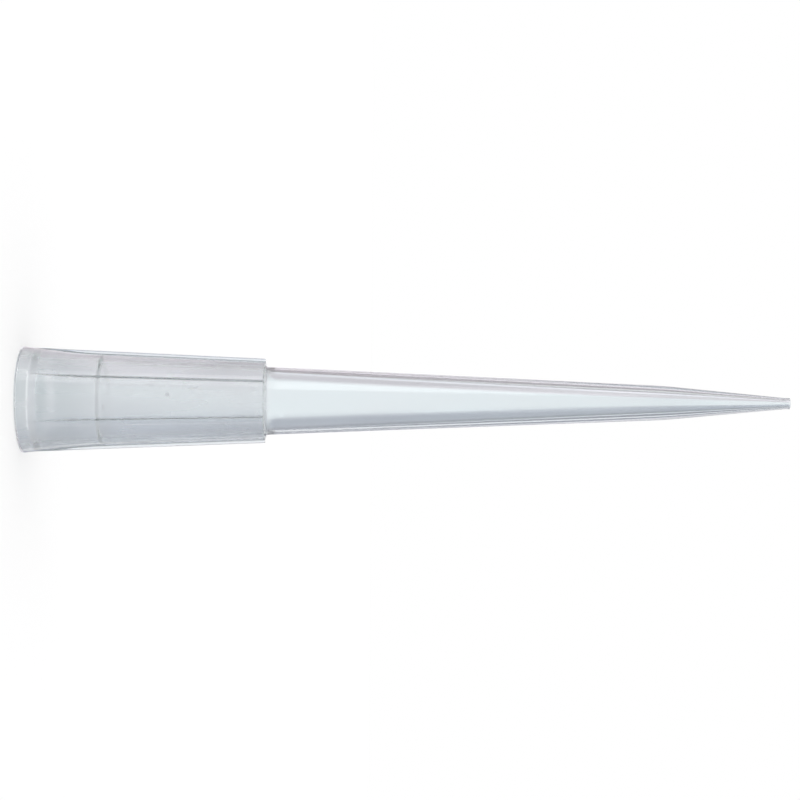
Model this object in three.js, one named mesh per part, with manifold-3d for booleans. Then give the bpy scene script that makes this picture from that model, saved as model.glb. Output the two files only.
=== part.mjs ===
// Pipette tip for volumes up to 200 microlitres: one thin-walled moulding in natural polypropylene.
//
// Millimetres, +Z up. The tip stands on its mouth: the origin is the centre of the mouth rim, and +Z runs
// along the tip's own axis to the dispensing orifice. A height is a distance from the mouth rim.

import * as THREE from "three";
import { mergeVertices } from "three/addons/utils/BufferGeometryUtils.js";
import Module from "manifold-3d";

const wasm = await Module();
wasm.setup();

// Lengths along the axis
const overallLength = 51.0; // mouth rim to orifice
const collarLength = 16.1; // the wide ribbed socket that the pipette pushes into
const flareLength = 5.1; // the part of the collar that opens out towards the mouth
const lipDepth = 0.8; // the thin lip, with its wide bore
const leadInLength = 0.45; // the bevel below the lip that guides the pipette in
const socketDepth = 5.15; // mouth rim to the step where the pipette's nose stops
const stepLength = 0.22; // the steep bevel at that step
const throatLength = 0.7; // the short cone between the collar's bore and the long bore
const pointLength = 8.4; // the steeper taper that ends at the orifice
const landLength = 0.35; // the last straight stretch round the orifice

// Outside radii, and what the radius loses on the way from the mouth to the long cone
const mouthRadius = 3.54;
const flareRise = 0.495; // over the flare
const collarTaper = 0.455; // from the flare's foot to the collar's foot
const shoulderWidth = 0.33; // from the collar's foot in to the long cone
const pointTopRadius = 1.14; // the long cone where it meets the steeper point
const orificeOuterRadius = 0.37;

// Walls, measured square to the axis
const rimWidth = 0.54; // the flat ring of the mouth rim
const lipFootWall = 0.44;
const socketMouthWall = 0.62; // at the foot of the lead-in bevel
const socketFootWall = 0.385; // just above the step
const sealTopWall = 0.54; // just past the step
const sealFootWall = 0.5; // at the foot of the collar
const coneTopWall = 0.285;
const pointTopWall = 0.42;
const orificeWall = 0.15;

// Ribs: straight fins along the collar, which fade into the flare below the mouth rim
const ribCount = 6;
const ribThickness = 0.4;
const ribFootHeight = 0.21; // above the collar at its foot
const ribMouthInset = 0.055; // how far the rib's crest, carried on to the mouth, lies inside the rim
const ribStartHeight = 0.5; // the rib's hidden end, inside the wall of the flare
const ribStartDepth = 0.3; // crest to root at that end
const ribRootDepth = 0.15; // how deep the rib's root is sunk in the collar's wall
const ribEdgeRound = 0.08;

// Rounds
const rimRound = 0.06; // the mouth rim's outer edge
const collarFootRound = 0.05; // the outer edge of the collar's foot
const shoulderFillet = 0.2; // where the long cone leaves the collar's foot

// Steepness of the flare at the mouth, in radius lost per length
const flareMouthSlope = 0.11;

// Facets
const facetsRound = 72;
const facetsPerCurve = 4;
const facetsPerEdge = 3;
const weldTolerance = 1e-5;

const flareFootRadius = mouthRadius - flareRise;
const collarFootRadius = flareFootRadius - collarTaper;
const coneTopRadius = collarFootRadius - shoulderWidth;
const collarSlope = collarTaper / (collarLength - flareLength);
const pointTopHeight = overallLength - pointLength;
const landTopHeight = overallLength - landLength;

// Outer radius of the collar's straight taper at a height
function collarRadius(height) {
  return flareFootRadius - collarSlope * (height - flareLength);
}

// Outer radius of the long cone at a height
function coneRadius(height) {
  const share = (height - collarLength) / (pointTopHeight - collarLength);
  return THREE.MathUtils.lerp(coneTopRadius, pointTopRadius, share);
}

// Outside of the section, from the mouth rim to the orifice
function drawOutside(section) {
  section.moveTo(mouthRadius - rimWidth, 0);
  section.lineTo(mouthRadius - rimRound, 0);
  section.quadraticCurveTo(mouthRadius, 0, mouthRadius, rimRound);

  const third = flareLength / 3;
  section.bezierCurveTo(
    mouthRadius - flareMouthSlope * third,
    third,
    flareFootRadius + collarSlope * third,
    flareLength - third,
    flareFootRadius,
    flareLength,
  );

  const roundTop = collarLength - collarFootRound;
  const footRadius = collarRadius(collarLength);
  section.lineTo(collarRadius(roundTop), roundTop);
  section.quadraticCurveTo(footRadius, collarLength, footRadius - collarFootRound, collarLength);

  const filletTop = collarLength + shoulderFillet;
  section.lineTo(coneTopRadius + shoulderFillet, collarLength);
  section.quadraticCurveTo(coneTopRadius, collarLength, coneRadius(filletTop), filletTop);

  section.lineTo(pointTopRadius, pointTopHeight);
  section.lineTo(orificeOuterRadius, landTopHeight);
  section.lineTo(orificeOuterRadius, overallLength);
}

// Bore, from the orifice back to the mouth rim
function drawBore(section) {
  const orificeRadius = orificeOuterRadius - orificeWall;
  const throatHeight = collarLength + throatLength;
  const sealTopHeight = socketDepth + stepLength;
  const leadInFootHeight = lipDepth + leadInLength;
  section.lineTo(orificeRadius, overallLength);
  section.lineTo(orificeRadius, landTopHeight);
  section.lineTo(pointTopRadius - pointTopWall, pointTopHeight);
  section.lineTo(coneRadius(throatHeight) - coneTopWall, throatHeight);
  section.lineTo(collarFootRadius - sealFootWall, collarLength);
  section.lineTo(collarRadius(sealTopHeight) - sealTopWall, sealTopHeight);
  section.lineTo(collarRadius(socketDepth) - socketFootWall, socketDepth);
  section.lineTo(mouthRadius - flareMouthSlope * leadInFootHeight - socketMouthWall, leadInFootHeight);
  section.lineTo(mouthRadius - flareMouthSlope * lipDepth - lipFootWall, lipDepth);
  section.closePath();
}

// The moulded tube: its section turned about the axis
function makeTube() {
  const section = new THREE.Path();
  drawOutside(section);
  drawBore(section);
  const geometry = new THREE.LatheGeometry(section.getPoints(facetsPerCurve), facetsRound);
  geometry.rotateX(Math.PI / 2);
  return geometry;
}

// One rib, standing on the +X side. Its crest is a straight line from inside the flare to the collar's foot.
function makeRib() {
  const crestMouthRadius = mouthRadius - ribMouthInset;
  const crestFootRadius = collarFootRadius + ribFootHeight;
  const startShare = ribStartHeight / collarLength;
  const crestStartRadius = THREE.MathUtils.lerp(crestMouthRadius, crestFootRadius, startShare);

  const side = new THREE.Shape();
  side.moveTo(crestStartRadius, ribStartHeight);
  side.lineTo(crestFootRadius, collarLength);
  side.lineTo(collarFootRadius - ribRootDepth, collarLength);
  side.lineTo(flareFootRadius - ribRootDepth, flareLength);
  side.lineTo(crestStartRadius - ribStartDepth, ribStartHeight);

  const geometry = new THREE.ExtrudeGeometry(side, {
    depth: ribThickness - 2 * ribEdgeRound,
    bevelThickness: ribEdgeRound,
    bevelSize: ribEdgeRound,
    bevelOffset: -ribEdgeRound,
    bevelSegments: facetsPerEdge,
  });
  geometry.translate(0, 0, ribEdgeRound - ribThickness / 2);
  geometry.rotateX(Math.PI / 2);
  return geometry;
}

// A closed geometry as a solid that can be joined
function toSolid(geometry) {
  geometry.deleteAttribute("normal");
  geometry.deleteAttribute("uv");
  const welded = mergeVertices(geometry, weldTolerance);
  const vertProperties = Float32Array.from(welded.attributes.position.array);
  const triVerts = Uint32Array.from(welded.index.array);
  return new wasm.Manifold(new wasm.Mesh({ numProp: 3, vertProperties, triVerts }));
}

// A joined solid back as a geometry
function toGeometry(solid) {
  const mesh = solid.getMesh();
  const geometry = new THREE.BufferGeometry();
  geometry.setAttribute("position", new THREE.BufferAttribute(mesh.vertProperties, mesh.numProp));
  geometry.setIndex(new THREE.BufferAttribute(mesh.triVerts, 1));
  geometry.computeVertexNormals();
  return geometry;
}

// The whole moulding: the tube with its ribs
function makeTipBody() {
  let solid = toSolid(makeTube());
  for (let i = 0; i < ribCount; i += 1) {
    const rib = makeRib();
    rib.rotateZ((i * 2 * Math.PI) / ribCount);
    solid = solid.add(toSolid(rib));
  }
  const plastic = new THREE.MeshStandardMaterial({
    color: 0xdfe6e8,
    roughness: 0.25,
    metalness: 0,
    transparent: true,
    opacity: 0.55,
  });
  const mesh = new THREE.Mesh(toGeometry(solid), plastic);
  mesh.name = "tip_body";
  return mesh;
}

const group = new THREE.Group();
group.add(makeTipBody());

export default group;
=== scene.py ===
"""Looks for the pipette tip: one smooth moulding in natural polypropylene, standing on its mouth.

Blender 4.5. Metres, +Z up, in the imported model's own frame: the mouth rim lies on z = 0, the orifice points up.
"""

import math

import bpy
import numpy as np
from mathutils import Matrix, Vector


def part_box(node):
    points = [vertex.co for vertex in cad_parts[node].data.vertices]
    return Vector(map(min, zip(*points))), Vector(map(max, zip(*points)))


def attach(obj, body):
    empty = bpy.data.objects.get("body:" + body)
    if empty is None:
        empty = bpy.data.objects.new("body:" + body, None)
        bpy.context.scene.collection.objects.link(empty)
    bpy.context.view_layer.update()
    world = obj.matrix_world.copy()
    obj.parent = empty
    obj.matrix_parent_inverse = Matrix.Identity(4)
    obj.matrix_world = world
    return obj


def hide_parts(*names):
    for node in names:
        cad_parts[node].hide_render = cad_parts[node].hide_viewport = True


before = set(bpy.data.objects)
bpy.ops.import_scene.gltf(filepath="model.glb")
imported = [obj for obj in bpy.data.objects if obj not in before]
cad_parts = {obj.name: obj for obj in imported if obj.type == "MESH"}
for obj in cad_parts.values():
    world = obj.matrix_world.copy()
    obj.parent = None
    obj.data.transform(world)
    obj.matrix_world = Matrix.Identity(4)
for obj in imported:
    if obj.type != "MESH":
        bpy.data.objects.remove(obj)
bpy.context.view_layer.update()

MM = 0.001
NODE = "tip_body"
SLOT = "natural_polypropylene"

# ---- The moulding's sizes, in millimetres. Heights are distances from the mouth rim. ----

# The overall length and the mouth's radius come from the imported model; the rest repeats the solid's own sizes
node_low, node_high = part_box(NODE)
OVERALL_LENGTH = (node_high.z - node_low.z) / MM
MOUTH_RADIUS = (node_high.x - node_low.x) / 2 / MM

COLLAR_LENGTH = 16.1
FLARE_LENGTH = 5.1
LIP_DEPTH = 0.8
LEAD_IN_LENGTH = 0.45
SOCKET_DEPTH = 5.15
STEP_LENGTH = 0.22
THROAT_LENGTH = 0.7
POINT_LENGTH = 8.4
LAND_LENGTH = 0.35

FLARE_RISE = 0.495
COLLAR_TAPER = 0.455
SHOULDER_WIDTH = 0.33
POINT_TOP_RADIUS = 1.14
ORIFICE_OUTER_RADIUS = 0.37

RIM_WIDTH = 0.54
LIP_FOOT_WALL = 0.44
SOCKET_MOUTH_WALL = 0.62
SOCKET_FOOT_WALL = 0.385
SEAL_TOP_WALL = 0.54
SEAL_FOOT_WALL = 0.5
CONE_TOP_WALL = 0.285
POINT_TOP_WALL = 0.42
ORIFICE_WALL = 0.15

RIB_COUNT = 6
RIB_THICKNESS = 0.4
RIB_FOOT_HEIGHT = 0.21
RIB_MOUTH_INSET = 0.055
RIB_START_HEIGHT = 0.5
FLARE_MOUTH_SLOPE = 0.11

RIM_ROUND = 0.06
COLLAR_FOOT_ROUND = 0.05
SHOULDER_FILLET = 0.2
RIB_EDGE_ROUND = 0.08

# Small rounds that only this net has
RIM_INNER_ROUND = 0.04
LEAD_IN_ROUND = 0.12
BORE_ROUND = 0.1
POINT_ROUND = 0.8
LAND_ROUND = 0.1
ORIFICE_ROUND = 0.03
RIB_FILLET = 0.05
RIB_DRAFT = 0.004

# How frosted each surface is, from 0 to 1
FROST_CONE = 0.0
FROST_COLLAR = 0.15
FROST_BORE = 0.6
FROST_BEVEL = 1.0
BEVEL_MARGIN = 0.02

# Polypropylene: its surface from its clearest to its most frosted, and what a metre of it takes from light
CLEAR_COLOUR = (0.955, 0.995, 1.0)
FROSTED_COLOUR = (0.975, 0.99, 0.99)
CLEAR_ROUGHNESS = 0.02
FROSTED_ROUGHNESS = 0.35
TRANSMISSION = 0.96
REFRACTIVE_INDEX = 1.49
DEPTH_COLOUR = (0.55, 0.64, 0.68)
DEPTH_DENSITY = 150

# What the flow of the plastic left in it: soft streaks drawn out along the tip, a slow haze and a fine grain.
# Sizes are (across, along) the tip, and reliefs are heights, in millimetres.
STREAK_SIZE = (0.8, 10.0)
STREAK_RELIEF = 0.0008
GRAIN_SIZE = (0.09, 0.09)
GRAIN_RELIEF = 0.0002
POLISHED_RELIEF = 0.5  # how much of the relief the polished cone keeps
HAZE_SIZE = (2.2, 7.0)
HAZE_EDGE = (0.3, 0.75)  # the noise values where the haze begins and is full
HAZE_COLOUR = (0.955, 0.96, 0.97)
HAZE_STRENGTH = 0.7
HAZE_DULLNESS = (0.55, 0.95)  # share of the roughness where the plastic is clear and where it is hazy

# Two small marks on the collar: (degrees round from +X, height, half width, half height)
GATE_MARK = (264.8, 9.9, 0.18, 0.18)
SCUFF_MARK = (281.8, 5.75, 0.28, 0.1)
MARK_EDGE = (1.0, 0.55)  # in half widths from its middle: where a mark ends and where it is full
MARK_COLOUR = (0.93, 0.935, 0.94)
MARK_ROUGHNESS = 0.55
MARK_DEPTH = 0.001

# How finely the net is drawn
HOLD = 1.3  # how far from a corner its holding points lie, in lengths of its round
RIB_HOLD = 0.012  # the same for a rib's edges, in millimetres
CORNER_STEPS = 5
FLARE_STEPS = 20
TAPER_STEPS = 36
EDGE_STEPS = 7
FILLET_SHARES = (0.0, 0.15, 0.35, 0.65, 1.0)
GAP_COLUMNS = 50

FLARE_FOOT_RADIUS = MOUTH_RADIUS - FLARE_RISE
COLLAR_FOOT_RADIUS = FLARE_FOOT_RADIUS - COLLAR_TAPER
CONE_TOP_RADIUS = COLLAR_FOOT_RADIUS - SHOULDER_WIDTH
POINT_TOP_HEIGHT = OVERALL_LENGTH - POINT_LENGTH
LAND_TOP_HEIGHT = OVERALL_LENGTH - LAND_LENGTH
COLLAR_SLOPE = COLLAR_TAPER / (COLLAR_LENGTH - FLARE_LENGTH)
RIM_MIDDLE = MOUTH_RADIUS - RIM_WIDTH / 2
FOOT_MIDDLE = COLLAR_FOOT_RADIUS - COLLAR_FOOT_ROUND * 2


def lerp(a, b, share):
    return a + (b - a) * share


def collar_radius(height):
    return FLARE_FOOT_RADIUS - COLLAR_SLOPE * (height - FLARE_LENGTH)


def cone_radius(height):
    share = (height - COLLAR_LENGTH) / (POINT_TOP_HEIGHT - COLLAR_LENGTH)
    return lerp(CONE_TOP_RADIUS, POINT_TOP_RADIUS, share)


def crest_radius(height):
    """Radius of a rib's crest: straight from just inside the mouth rim to the collar's foot."""
    at_mouth = MOUTH_RADIUS - RIB_MOUTH_INSET
    at_foot = COLLAR_FOOT_RADIUS + RIB_FOOT_HEIGHT
    return lerp(at_mouth, at_foot, height / COLLAR_LENGTH)


# ---- The section ----


def rounded(corners):
    """An open outline through corners (radius, height, round), each corner rounded off over that length.

    A point just outside each round keeps the shading of the long straight stretches true."""
    points = [np.array(corners[0][:2])]
    for before, corner, after in zip(corners, corners[1:], corners[2:]):
        place = np.array(corner[:2])
        reach = corner[2]
        if reach == 0:
            points.append(place)
            continue
        back = np.array(before[:2]) - place
        on = np.array(after[:2]) - place
        back = back / np.linalg.norm(back) * reach
        on = on / np.linalg.norm(on) * reach
        points.append(place + back * HOLD)
        for t in np.linspace(0, 1, CORNER_STEPS + 1):
            points.append(place + (1 - t) ** 2 * back + t * t * on)
        points.append(place + on * HOLD)
    points.append(np.array(corners[-1][:2]))
    return points


def bezier(p0, p1, p2, p3, steps):
    """Points along a cubic curve, without its first point."""
    curve = []
    for t in np.linspace(0, 1, steps + 1)[1:]:
        near = (1 - t) ** 3 * p0 + 3 * t * (1 - t) ** 2 * p1
        far = 3 * t * t * (1 - t) * p2 + t**3 * p3
        curve.append(near + far)
    return curve


def collar_outline():
    """The ribbed outside of the collar, from the middle of the rim's flat to a point on the foot's flat."""
    third = FLARE_LENGTH / 3
    flare = bezier(
        np.array((MOUTH_RADIUS, 0.0)),
        np.array((MOUTH_RADIUS - FLARE_MOUTH_SLOPE * third, third)),
        np.array((FLARE_FOOT_RADIUS + COLLAR_SLOPE * third, FLARE_LENGTH - third)),
        np.array((FLARE_FOOT_RADIUS, FLARE_LENGTH)),
        FLARE_STEPS,
    )
    rim = rounded(((RIM_MIDDLE, 0, 0), (MOUTH_RADIUS, 0, RIM_ROUND), (*flare[0], 0)))
    taper_heights = np.linspace(FLARE_LENGTH, COLLAR_LENGTH, TAPER_STEPS + 1)[1:-1]
    taper = [np.array((collar_radius(height), height)) for height in taper_heights]
    foot = rounded(
        (
            (*taper[-1], 0),
            (COLLAR_FOOT_RADIUS, COLLAR_LENGTH, COLLAR_FOOT_ROUND),
            (FOOT_MIDDLE, COLLAR_LENGTH, 0),
        )
    )
    return rim + flare[1:] + taper + foot[1:-1]


def plain_outline():
    """The rest of the section: down the cone to the orifice, and back up the bore to the rim's flat."""
    orifice_radius = ORIFICE_OUTER_RADIUS - ORIFICE_WALL
    throat_height = COLLAR_LENGTH + THROAT_LENGTH
    seal_top_height = SOCKET_DEPTH + STEP_LENGTH
    lead_in_foot = LIP_DEPTH + LEAD_IN_LENGTH
    lip_bore = MOUTH_RADIUS - FLARE_MOUTH_SLOPE * LIP_DEPTH - LIP_FOOT_WALL
    socket_bore = MOUTH_RADIUS - FLARE_MOUTH_SLOPE * lead_in_foot - SOCKET_MOUTH_WALL
    corners = (
        (FOOT_MIDDLE, COLLAR_LENGTH, 0),
        (CONE_TOP_RADIUS, COLLAR_LENGTH, SHOULDER_FILLET),
        (POINT_TOP_RADIUS, POINT_TOP_HEIGHT, POINT_ROUND),
        (ORIFICE_OUTER_RADIUS, LAND_TOP_HEIGHT, LAND_ROUND),
        (ORIFICE_OUTER_RADIUS, OVERALL_LENGTH, ORIFICE_ROUND),
        (orifice_radius, OVERALL_LENGTH, ORIFICE_ROUND),
        (orifice_radius, LAND_TOP_HEIGHT, LAND_ROUND),
        (POINT_TOP_RADIUS - POINT_TOP_WALL, POINT_TOP_HEIGHT, POINT_ROUND),
        (cone_radius(throat_height) - CONE_TOP_WALL, throat_height, BORE_ROUND),
        (COLLAR_FOOT_RADIUS - SEAL_FOOT_WALL, COLLAR_LENGTH, BORE_ROUND),
        (collar_radius(seal_top_height) - SEAL_TOP_WALL, seal_top_height, BORE_ROUND),
        (collar_radius(SOCKET_DEPTH) - SOCKET_FOOT_WALL, SOCKET_DEPTH, BORE_ROUND),
        (socket_bore, lead_in_foot, LEAD_IN_ROUND),
        (lip_bore, LIP_DEPTH, LEAD_IN_ROUND),
        (MOUTH_RADIUS - RIM_WIDTH, 0, RIM_INNER_ROUND),
        (RIM_MIDDLE, 0, 0),
    )
    return rounded(corners)[1:-1]


# ---- The mesh ----


def rib_section():
    """Half a rib's section, from the middle of its crest: (distance from its middle, drop below its crest)."""
    half = RIB_THICKNESS / 2
    flat = half - RIB_EDGE_ROUND
    section = [(0.0, 0.0), (flat - RIB_HOLD, 0.0), (flat, 0.0)]
    for turn in np.linspace(0, math.pi / 2, EDGE_STEPS + 1)[1:]:
        distance = flat + RIB_EDGE_ROUND * math.sin(turn)
        section.append((distance, RIB_EDGE_ROUND * (1 - math.cos(turn))))
    section.append((half, RIB_EDGE_ROUND + RIB_HOLD))
    return section


def root_section():
    """The small fillet at a rib's root: (distance from its middle, rise above the collar)."""
    wall = RIB_THICKNESS / 2 + RIB_DRAFT
    fillet = [(wall + RIB_FILLET * share, RIB_FILLET * (1 - share) ** 2) for share in FILLET_SHARES]
    return [(wall, RIB_FILLET + RIB_HOLD)] + fillet


def directions(turn):
    """At this turn round the tip: the way out from its axis, and the way on round it."""
    out = np.array((math.cos(turn), math.sin(turn)))
    return out, np.array((-out[1], out[0]))


def collar_ring(radius, height):
    """One ring of the collar's outside. Its columns lie close together across each rib, and even between ribs.

    Where the collar's foot is rounded, its ribs are cut back as far as its wall is."""
    nominal = collar_radius(height) if height > FLARE_LENGTH else radius
    cut = radius - nominal
    crest = crest_radius(height) + cut if height > RIB_START_HEIGHT else 0.0
    half = []
    for distance, drop in rib_section():
        half.append((max(math.sqrt(radius**2 - distance**2), crest - drop), distance))
    for distance, rise in root_section():
        base = math.sqrt(radius**2 - distance**2)
        half.append((min(base + rise, max(base, crest - RIB_EDGE_ROUND - RIB_HOLD)), distance))
    last = math.atan2(half[-1][1], half[-1][0])
    pitch = 2 * math.pi / RIB_COUNT
    gap = np.linspace(last, pitch - last, GAP_COLUMNS + 2)[1:-1]
    ring_points = []
    for i in range(RIB_COUNT):
        out, on = directions(pitch * i)
        next_out, next_on = directions(pitch * (i + 1))
        ring_points += [out * away + on * along for away, along in half]
        ring_points += [radius * directions(pitch * i + turn)[0] for turn in gap]
        ring_points += [next_out * away - next_on * along for away, along in half[:0:-1]]
    return np.column_stack((np.array(ring_points), np.full(len(ring_points), height)))


def plain_ring(radius, height, columns):
    turns = np.arange(columns) * 2 * math.pi / columns
    return np.column_stack((radius * np.cos(turns), radius * np.sin(turns), np.full(columns, height)))


def frost_at(radius, height):
    """How frosted the mould left the surface: 0 is polished, like the cone, and 1 is like the bore's bevels."""
    if height > COLLAR_LENGTH + SHOULDER_FILLET:
        return FROST_CONE
    middle = lerp(MOUTH_RADIUS, COLLAR_FOOT_RADIUS, height / COLLAR_LENGTH) - RIM_WIDTH / 2
    if radius > middle:
        return FROST_COLLAR
    on_lead_in = -BEVEL_MARGIN < height - LIP_DEPTH < LEAD_IN_LENGTH + BEVEL_MARGIN
    on_step = -BEVEL_MARGIN < height - SOCKET_DEPTH < STEP_LENGTH + BEVEL_MARGIN
    return FROST_BEVEL if on_lead_in or on_step else FROST_BORE


def tip_mesh():
    """The whole moulding as one closed net of rings and columns."""
    collar, rest = collar_outline(), plain_outline()
    rings = [collar_ring(radius, height) for radius, height in collar]
    columns = len(rings[0])
    rings += [plain_ring(radius, height, columns) for radius, height in rest]
    levels = len(rings)
    faces = []
    for i in range(levels):
        start, end = i * columns, (i + 1) % levels * columns
        for k in range(columns):
            k_next = (k + 1) % columns
            faces.append((start + k, start + k_next, end + k_next, end + k))
    mesh = bpy.data.meshes.new("tip_moulding")
    mesh.from_pydata((np.concatenate(rings) * MM).tolist(), [], faces)
    mesh.polygons.foreach_set("use_smooth", [True] * len(faces))
    frost = mesh.attributes.new("frost", "FLOAT", "POINT")
    frost.data.foreach_set("value", np.repeat([frost_at(r, h) for r, h in collar + rest], columns))
    mesh.update()
    return mesh


tip = bpy.data.objects.new("tip_moulding", tip_mesh())
bpy.context.scene.collection.objects.link(tip)

# ---- Material ----


class Nodes:
    """Short names for building a node tree."""

    def __init__(self, tree):
        self.tree = tree

    def add(self, kind, **settings):
        node = self.tree.nodes.new("ShaderNode" + kind)
        for name, value in settings.items():
            setattr(node, name, value)
        return node

    def link(self, source, socket):
        self.tree.links.new(source, socket)

    def math(self, operation, *values):
        """A Math node on sockets or numbers; returns its result."""
        node = self.add("Math", operation=operation)
        for socket, value in zip(node.inputs, values):
            if isinstance(value, (int, float)):
                socket.default_value = value
            else:
                self.link(value, socket)
        return node.outputs[0]

    def mix(self, share, low, high):
        """A colour between low and high."""
        node = self.add("Mix", data_type="RGBA")
        self.link(share, node.inputs["Factor"])
        for name, value in (("A", low), ("B", high)):
            if isinstance(value, tuple):
                node.inputs[name].default_value = (*value, 1)
            else:
                self.link(value, node.inputs[name])
        return node.outputs["Result"]

    def soft_step(self, value, start, end):
        """A share that rises smoothly from 0 at start to 1 at end."""
        node = self.add("MapRange", interpolation_type="SMOOTHSTEP")
        self.link(value, node.inputs["Value"])
        node.inputs["From Min"].default_value = start
        node.inputs["From Max"].default_value = end
        return node.outputs[0]

    def between(self, share, low, high):
        """A number between low and high."""
        node = self.add("MapRange")
        self.link(share, node.inputs["Value"])
        node.inputs["To Min"].default_value = low
        node.inputs["To Max"].default_value = high
        return node.outputs[0]


def noise(nodes, place, size, detail):
    """A soft noise from 0 to 1 whose features are about size (across, along) millimetres."""
    across, along = size
    stretch = nodes.add("VectorMath", operation="MULTIPLY")
    nodes.link(place, stretch.inputs[0])
    stretch.inputs[1].default_value = (1 / (across * MM), 1 / (across * MM), 1 / (along * MM))
    pattern = nodes.add("TexNoise")
    nodes.link(stretch.outputs[0], pattern.inputs["Vector"])
    pattern.inputs["Scale"].default_value = 1
    pattern.inputs["Detail"].default_value = detail
    return pattern.outputs["Fac"]


def mark(nodes, place, spot):
    """A share that is 1 on a small mark on the collar and fades out at its edge."""
    degrees, height, half_width, half_height = spot
    turn = math.radians(degrees)
    radius = collar_radius(height)
    offset = nodes.add("VectorMath", operation="SUBTRACT")
    nodes.link(place, offset.inputs[0])
    middle = Vector((radius * math.cos(turn), radius * math.sin(turn), height))
    offset.inputs[1].default_value = middle * MM
    reach = nodes.add("VectorMath", operation="DIVIDE")
    nodes.link(offset.outputs[0], reach.inputs[0])
    reach.inputs[1].default_value = Vector((half_width, half_width, half_height)) * MM
    length = nodes.add("VectorMath", operation="LENGTH")
    nodes.link(reach.outputs[0], length.inputs[0])
    return nodes.soft_step(length.outputs["Value"], *MARK_EDGE)


def polypropylene():
    """Clear plastic, polished on the cone and slightly frosted on the collar, with its streaks and marks."""
    material = bpy.data.materials.new(SLOT)
    material.use_nodes = True
    nodes = Nodes(material.node_tree)
    shader = material.node_tree.nodes["Principled BSDF"]
    frost = nodes.add("Attribute", attribute_name="frost").outputs["Fac"]
    place = nodes.add("TexCoord").outputs["Object"]
    streaks = noise(nodes, place, STREAK_SIZE, 2)
    haze = nodes.soft_step(noise(nodes, place, HAZE_SIZE, 3), *HAZE_EDGE)
    grain = noise(nodes, place, GRAIN_SIZE, 1)
    marks = nodes.math("MAXIMUM", mark(nodes, place, GATE_MARK), mark(nodes, place, SCUFF_MARK))

    clean = nodes.mix(frost, CLEAR_COLOUR, FROSTED_COLOUR)
    clouded = nodes.math("MULTIPLY", nodes.math("MULTIPLY", haze, streaks), HAZE_STRENGTH)
    hazed = nodes.mix(clouded, clean, HAZE_COLOUR)
    nodes.link(nodes.mix(marks, hazed, MARK_COLOUR), shader.inputs["Base Color"])

    even = nodes.between(frost, CLEAR_ROUGHNESS, FROSTED_ROUGHNESS)
    dullness = nodes.math("ADD", nodes.between(haze, *HAZE_DULLNESS), streaks)
    uneven = nodes.math("MULTIPLY", even, dullness)
    dull_marks = nodes.math("MULTIPLY", marks, MARK_ROUGHNESS)
    nodes.link(nodes.math("MAXIMUM", uneven, dull_marks), shader.inputs["Roughness"])

    streak_relief = nodes.math("MULTIPLY", streaks, STREAK_RELIEF)
    relief = nodes.math("MULTIPLY_ADD", grain, GRAIN_RELIEF, streak_relief)
    kept_relief = nodes.math("MULTIPLY", relief, nodes.between(frost, POLISHED_RELIEF, 1.0))
    sunk_marks = nodes.math("MULTIPLY", marks, MARK_DEPTH)
    bump = nodes.add("Bump")
    nodes.link(nodes.math("SUBTRACT", kept_relief, sunk_marks), bump.inputs["Height"])
    bump.inputs["Distance"].default_value = MM
    nodes.link(bump.outputs[0], shader.inputs["Normal"])

    shader.inputs["Transmission Weight"].default_value = TRANSMISSION
    shader.inputs["IOR"].default_value = REFRACTIVE_INDEX
    depth = nodes.add("VolumeAbsorption")
    depth.inputs["Color"].default_value = (*DEPTH_COLOUR, 1)
    depth.inputs["Density"].default_value = DEPTH_DENSITY
    nodes.link(depth.outputs[0], material.node_tree.nodes["Material Output"].inputs["Volume"])
    return material


tip.data.materials.append(polypropylene())
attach(tip, "root")
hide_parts(NODE)

# ---- Stage ----

# Tints of the studio's light
PLAIN = (1.0, 1.0, 1.0)
PALE = (1.0, 1.0, 1.025)
COOL = (0.98, 0.99, 1.14)
MAUVE = (1.08, 0.97, 1.04)
ROSE = (1.08, 0.98, 1.05)

# The floor's half width in metres, its own grey, and the glow that lifts it to the photo's white for the camera
FLOOR_HALF_WIDTH = 1.5
FLOOR_GREY = 0.5
FLOOR_LIFT = 0.47


def make_floor():
    """A plain white floor. Light that has been through the plastic sees the studio instead of it."""
    mesh = bpy.data.meshes.new("floor")
    half = FLOOR_HALF_WIDTH
    corners = [(-half, -half, 0), (half, -half, 0), (half, half, 0), (-half, half, 0)]
    mesh.from_pydata(corners, [], [(0, 1, 2, 3)])
    floor = bpy.data.objects.new("floor", mesh)
    bpy.context.scene.collection.objects.link(floor)
    material = bpy.data.materials.new("floor_white")
    material.use_nodes = True
    material.node_tree.nodes.clear()
    nodes = Nodes(material.node_tree)
    path = nodes.add("LightPath").outputs
    diffuse = nodes.add("BsdfDiffuse")
    diffuse.inputs["Color"].default_value = (FLOOR_GREY,) * 3 + (1,)
    glow = nodes.add("Emission")
    nodes.link(nodes.math("MULTIPLY", path["Is Camera Ray"], FLOOR_LIFT), glow.inputs["Strength"])
    white = nodes.add("AddShader")
    nodes.link(diffuse.outputs[0], white.inputs[0])
    nodes.link(glow.outputs[0], white.inputs[1])
    mix = nodes.add("MixShader")
    nodes.link(nodes.math("MAXIMUM", path["Is Transmission Ray"], path["Is Glossy Ray"]), mix.inputs[0])
    nodes.link(white.outputs[0], mix.inputs[1])
    nodes.link(nodes.add("BsdfTransparent").outputs[0], mix.inputs[2])
    nodes.link(mix.outputs[0], nodes.add("OutputMaterial").inputs["Surface"])
    mesh.materials.append(material)


make_floor()


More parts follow.
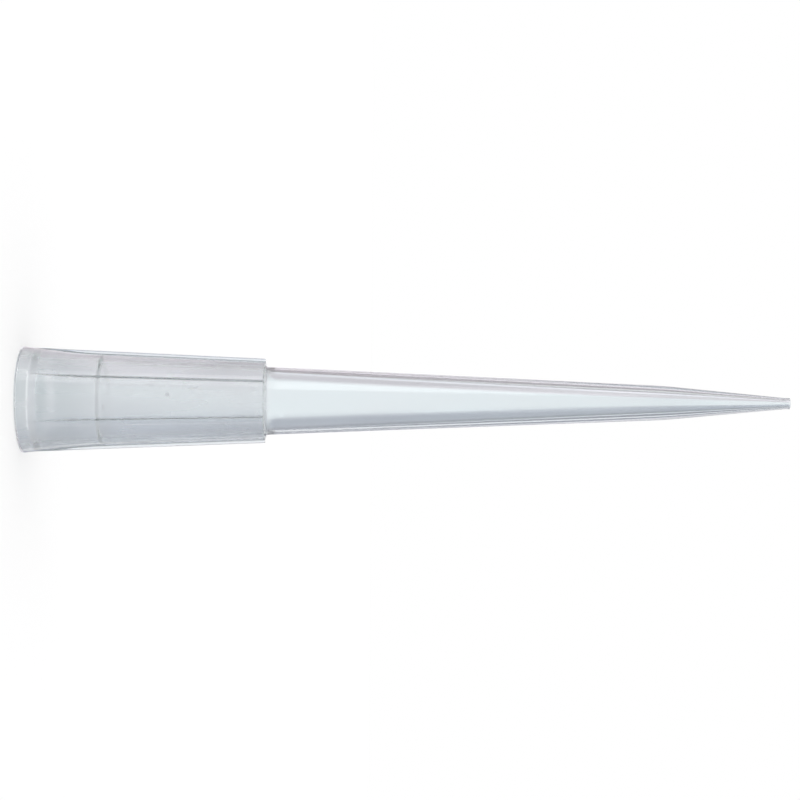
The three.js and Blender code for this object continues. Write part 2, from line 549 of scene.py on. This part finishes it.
# The studio is one wall of light round the tip, in sections. A side is the way the light is looked for, in
# degrees: 0 is straight behind the tip, 90 is above it in the picture, 180 is behind the camera, -90 is below.
# A section begins where the last one ends, and its edges are soft over a few degrees:
# (the side where it ends, its level by the cone, its level by the collar, its tint)
SECTIONS = (
    (-110, 0.8, 0.9, PLAIN),  # fill from the camera's side
    (-70, 0.6, 1.0, PLAIN),
    (-42, 0.35, 0.6, COOL),  # dark screen
    (-27, 1.0, 1.1, PALE),  # strip
    (-15, 0.3, 0.5, COOL),  # dark screen
    (-2, 0.45, 0.6, COOL),
    (10, 0.95, 0.9, PALE),  # backdrop
    (20, 0.65, 0.9, MAUVE),
    (30, 1.05, 0.9, ROSE),  # strip
    (55, 0.4, 0.9, MAUVE),  # dark screen
    (110, 0.8, 1.0, PLAIN),
    (140, 2.5, 1.3, PLAIN),  # key light, from above
    (180, 0.8, 0.8, PLAIN),
)
SOFT_EDGE = 2.5

# What changes with height, in degrees above the level: the collar's levels hand over to the cone's, the light
# fades towards the floor, and it fades again high up
HANDOVER = (-4.2, -3.4)
FLOOR_FADE = (-15.0, -12.4)
FLOOR_FADED = (0.6, 0.64, 0.65)
HIGH_FADE = (10.5, 14.0)
HIGH_FADED = 0.62

# Above and below the wall of light
WALL_REACH = 20
OVERHEAD = 1.15
UNDERFOOT = 0.85


def light_from(nodes, share, levels):
    """The light from each side, with these levels for the sections and soft edges between them."""
    stops = []
    begin = -180
    for (end, _, _, tint), level in zip(SECTIONS, levels):
        stops += [(begin + SOFT_EDGE / 2, level, tint), (end - SOFT_EDGE / 2, level, tint)]
        begin = end
    ramp = nodes.add("ValToRGB")
    nodes.link(share, ramp.inputs[0])
    elements = ramp.color_ramp.elements
    while len(elements) > 1:
        elements.remove(elements[-1])
    brightest = max(levels)
    for i, (degrees, level, tint) in enumerate(stops):
        place = degrees / 360 + 0.5
        element = elements.new(place) if i else elements[0]
        element.position = place
        element.color = (*(level / brightest * channel for channel in tint), 1)
    bright = nodes.add("VectorMath", operation="SCALE")
    nodes.link(ramp.outputs[0], bright.inputs[0])
    bright.inputs["Scale"].default_value = brightest
    return bright.outputs[0]


def make_world():
    """The studio as a world. The camera itself sees plain white behind the tip, as in the photo."""
    world = bpy.data.worlds.new("studio")
    bpy.context.scene.world = world
    world.use_nodes = True
    world.node_tree.nodes.clear()
    nodes = Nodes(world.node_tree)
    path = nodes.add("LightPath")
    split = nodes.add("SeparateXYZ")
    nodes.link(nodes.add("TexCoord").outputs["Generated"], split.inputs[0])

    side = nodes.math("ARCTAN2", nodes.math("MULTIPLY", split.outputs["X"], -1), split.outputs["Y"])
    share = nodes.math("MULTIPLY_ADD", side, 0.5 / math.pi, 0.5)
    rise = nodes.math("MULTIPLY", nodes.math("ARCSINE", split.outputs["Z"]), 180 / math.pi)
    by_the_cone = light_from(nodes, share, [level for _, level, _, _ in SECTIONS])
    by_the_collar = light_from(nodes, share, [level for _, _, level, _ in SECTIONS])
    beside = nodes.mix(nodes.soft_step(rise, *HANDOVER), by_the_collar, by_the_cone)
    low_fade = nodes.add("VectorMath", operation="MULTIPLY")
    nodes.link(beside, low_fade.inputs[0])
    low_share = nodes.mix(nodes.soft_step(rise, *FLOOR_FADE), FLOOR_FADED, PLAIN)
    nodes.link(low_share, low_fade.inputs[1])
    high_fade = nodes.add("VectorMath", operation="SCALE")
    nodes.link(low_fade.outputs[0], high_fade.inputs[0])
    high_share = nodes.between(nodes.soft_step(rise, *HIGH_FADE), 1.0, HIGH_FADED)
    nodes.link(high_share, high_fade.inputs["Scale"])

    on_wall = nodes.math("LESS_THAN", nodes.math("ABSOLUTE", rise), WALL_REACH)
    overhead = nodes.math("GREATER_THAN", rise, 0)
    away = nodes.mix(overhead, (UNDERFOOT,) * 3, (OVERHEAD,) * 3)
    around = nodes.mix(on_wall, away, high_fade.outputs[0])
    colour = nodes.mix(path.outputs["Is Camera Ray"], around, PLAIN)
    back = nodes.add("Background")
    nodes.link(colour, back.inputs["Color"])
    nodes.link(back.outputs[0], nodes.add("OutputWorld").inputs["Surface"])


make_world()

# ---- Camera: from the side and level, turned so that the tip lies across the picture, mouth to the left ----

CAMERA_DISTANCE = 131.4 * MM
CAMERA_HEIGHT = 25.06 * MM
CAMERA_SIDE = -0.107 * MM
CAMERA_LENS = 88.8
CAMERA_SPIN = math.radians(2.5)
CAMERA_ROLL = math.radians(0.31)


def make_camera():
    data = bpy.data.cameras.new("camera")
    data.sensor_width = 36
    data.lens = CAMERA_LENS
    data.clip_start = 0.01
    data.clip_end = 10
    camera = bpy.data.objects.new("camera", data)
    bpy.context.scene.collection.objects.link(camera)
    back = Vector((math.sin(CAMERA_SPIN), -math.cos(CAMERA_SPIN), 0))
    right = Vector((0, 0, 1))
    up = back.cross(right)
    matrix = Matrix((right, up, back)).transposed().to_4x4()
    matrix.translation = back * CAMERA_DISTANCE + Vector((CAMERA_SIDE, 0, CAMERA_HEIGHT))
    camera.matrix_world = matrix @ Matrix.Rotation(CAMERA_ROLL, 4, "Z")
    bpy.context.scene.camera = camera


make_camera()

scene = bpy.context.scene
scene.view_settings.view_transform = "Standard"
scene.cycles.max_bounces = 24
scene.cycles.transmission_bounces = 20
scene.cycles.glossy_bounces = 12
scene.cycles.use_adaptive_sampling = False
